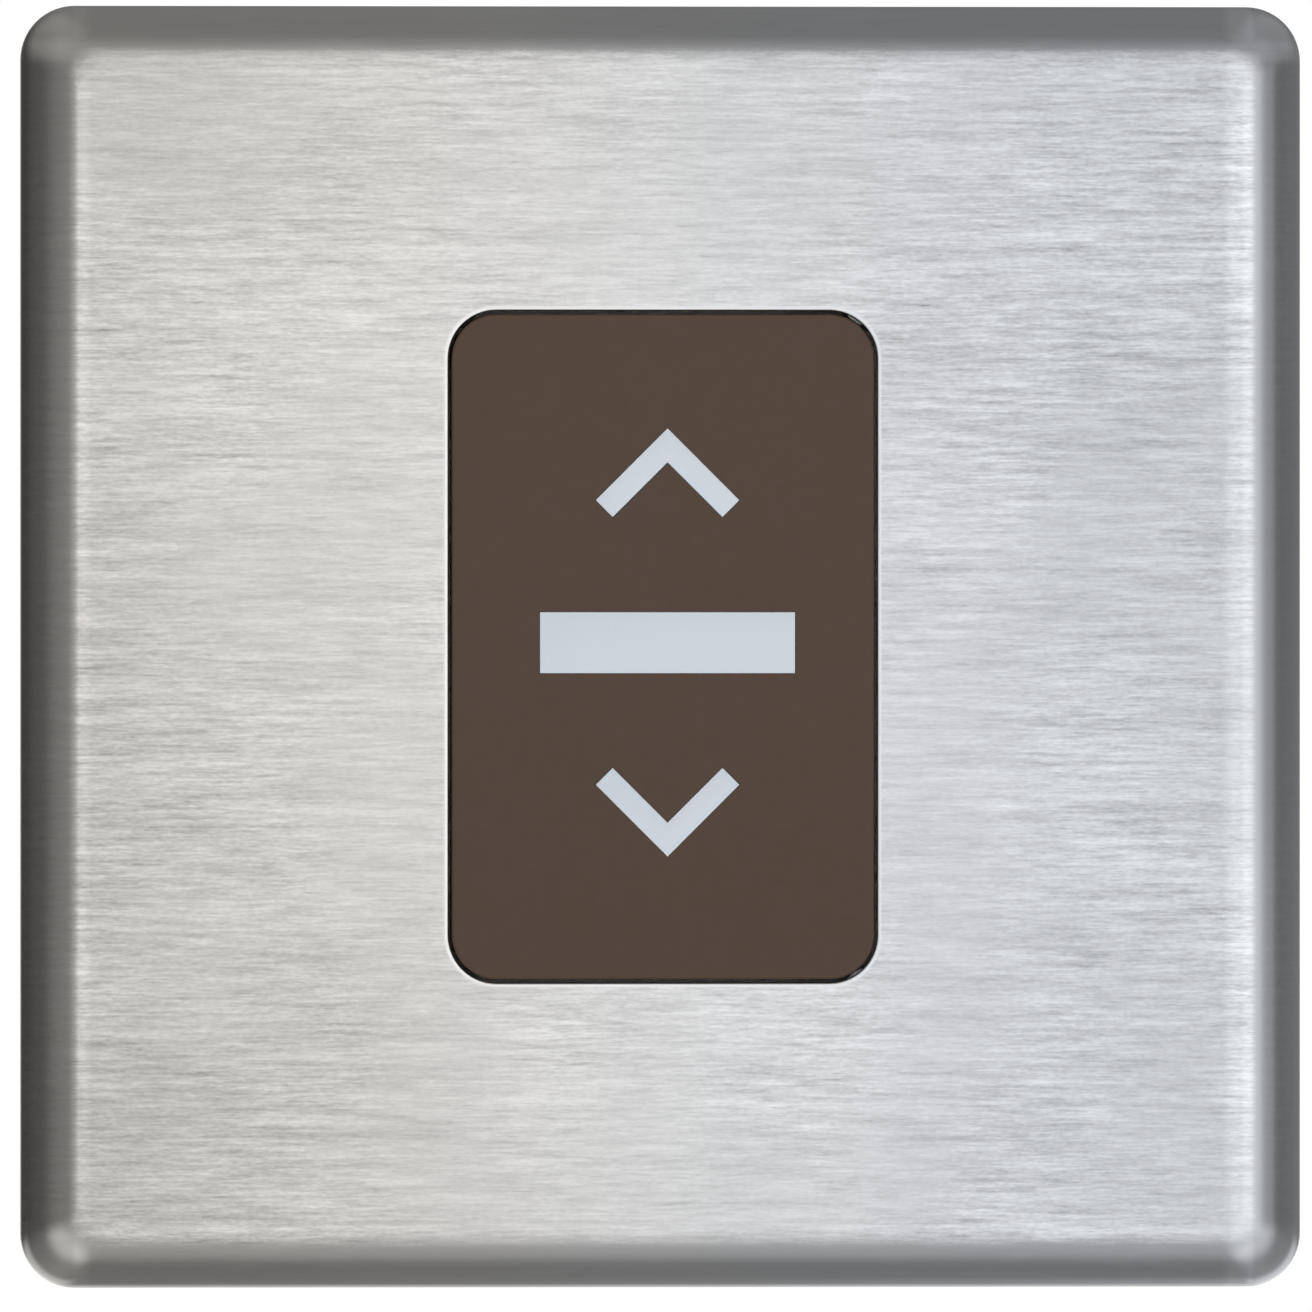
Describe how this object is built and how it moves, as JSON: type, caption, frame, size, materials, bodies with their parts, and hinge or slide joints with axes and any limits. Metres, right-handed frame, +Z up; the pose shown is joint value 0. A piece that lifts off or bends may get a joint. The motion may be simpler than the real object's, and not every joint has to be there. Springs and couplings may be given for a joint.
{
  "type": "rocker wall switch",
  "caption": "Square screwless wall switch: brushed steel plate, brown up-stop-down rocker with pale symbols, sprung double-break contacts and rear terminals.",
  "frame": {"origin": "centre of the plate, on the wall surface (the plane of the gasket's and the mounting frame's rear faces)", "axes": "+X to the right seen from the front, +Z up, +Y into the wall; the plate faces -Y"},
  "size_m": [0.086, 0.028, 0.086],
  "materials": {
    "stainless": "brushed, fine horizontal grain",
    "brown_plastic": "satin",
    "grey_plastic": "satin",
    "black_plastic": "fine spark texture",
    "white_plastic": "satin",
    "soft_rubber": "matt",
    "zinc_steel": "zinc plated",
    "spring_steel": "drawn wire",
    "bright_metal": "polished",
    "brass": "machined"
  },
  "bodies": {
    "mechanism": {"mounting_frame": "zinc_steel", "frame_rivets": "bright_metal", "pivot_pin": "bright_metal", "housing_cover": "white_plastic", "housing_base": "black_plastic", "housing_screws": "zinc_steel", "up_return_spring": "spring_steel", "down_return_spring": "spring_steel", "common_bus": "brass", "up_contact_strip": "brass", "down_contact_strip": "brass", "fixed_contact_tips": "bright_metal", "common_terminal": "brass", "up_terminal": "brass", "down_terminal": "brass", "terminal_screws": "zinc_steel", "earth_terminal": "brass", "earth_rivet": "bright_metal", "earth_screw": "zinc_steel"},
    "face_plate": {"front_plate": "stainless", "plate_gasket": "soft_rubber", "plate_liner": "black_plastic", "plate_clips": "zinc_steel"},
    "rocker": {"rocker_cap": "brown_plastic", "legend_core": "grey_plastic", "rocker_carrier": "black_plastic"},
    "up_contact": {"up_plunger": "white_plastic", "up_bridge": "brass", "up_bridge_tips": "bright_metal"},
    "down_contact": {"down_plunger": "white_plastic", "down_bridge": "brass", "down_bridge_tips": "bright_metal"}
  },
  "joints": [
    {"name": "rocker_tilt", "type": "hinge", "parent": "mechanism", "child": "rocker", "pos_m": [0, -0.0024, 0], "axis": [-1, 0, 0], "range_deg": [-4.5, 4.5], "stiffness_Nm_per_rad": 0.6},
    {"name": "up_plunger_slide", "type": "slide", "parent": "mechanism", "child": "up_contact", "axis": [0, 1, 0], "range_m": [-0.00126, 0.00126], "deforming": ["up_return_spring"]},
    {"name": "down_plunger_slide", "type": "slide", "parent": "mechanism", "child": "down_contact", "axis": [0, 1, 0], "range_m": [-0.00126, 0.00126], "deforming": ["down_return_spring"]},
    {"name": "plate_pull", "type": "slide", "parent": "mechanism", "child": "face_plate", "axis": [0, -1, 0], "range_m": [0, 0.03]}
  ],
  "couplings": [
    {"joint": "up_plunger_slide", "follows": "rocker_tilt", "m_per_rad": 0.016},
    {"joint": "down_plunger_slide", "follows": "rocker_tilt", "m_per_rad": -0.016}
  ]
}
